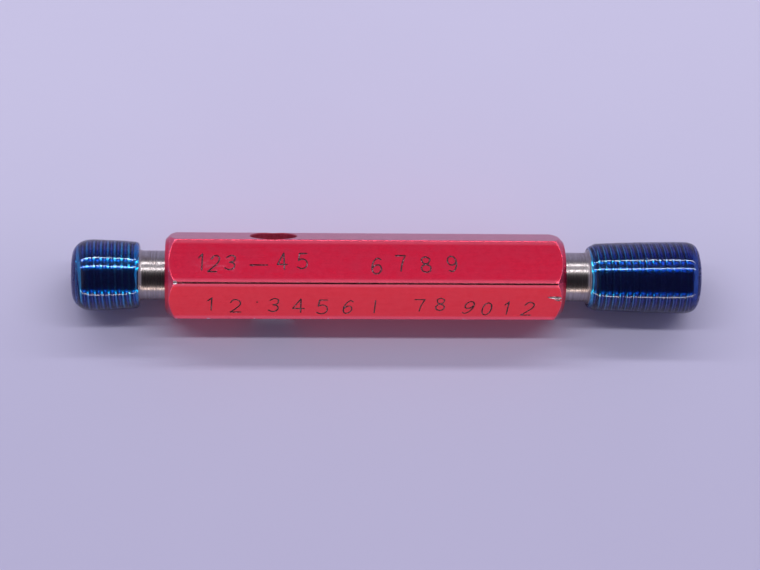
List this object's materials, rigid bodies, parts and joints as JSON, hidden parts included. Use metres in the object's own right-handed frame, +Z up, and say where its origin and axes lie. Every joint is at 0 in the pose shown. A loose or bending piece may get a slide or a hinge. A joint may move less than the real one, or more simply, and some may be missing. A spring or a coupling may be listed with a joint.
{
  "type": "thread plug gauge",
  "caption": "Double-ended taper-lock thread plug gauge: red hexagonal aluminium handle with GO and NOT GO members under blue dip coats.",
  "frame": {"origin": "middle of the handle's flat that the gauge lies on, halfway along the handle", "axes": "+X along the gauge's axis towards its GO end, +Z up out of the flat it lies on, -Y the side that faces the user"},
  "size_m": [0.1311, 0.0192, 0.0167],
  "materials": {
    "handle_anodised": "red anodised, satin",
    "gauge_steel": "hardened and ground",
    "dip_coat": "glossy translucent blue peelable dip"
  },
  "bodies": {
    "root": {"handle": "handle_anodised", "go_member": "gauge_steel", "not_go_member": "gauge_steel", "go_dip_coat": "dip_coat", "not_go_dip_coat": "dip_coat"}
  },
  "joints": []
}
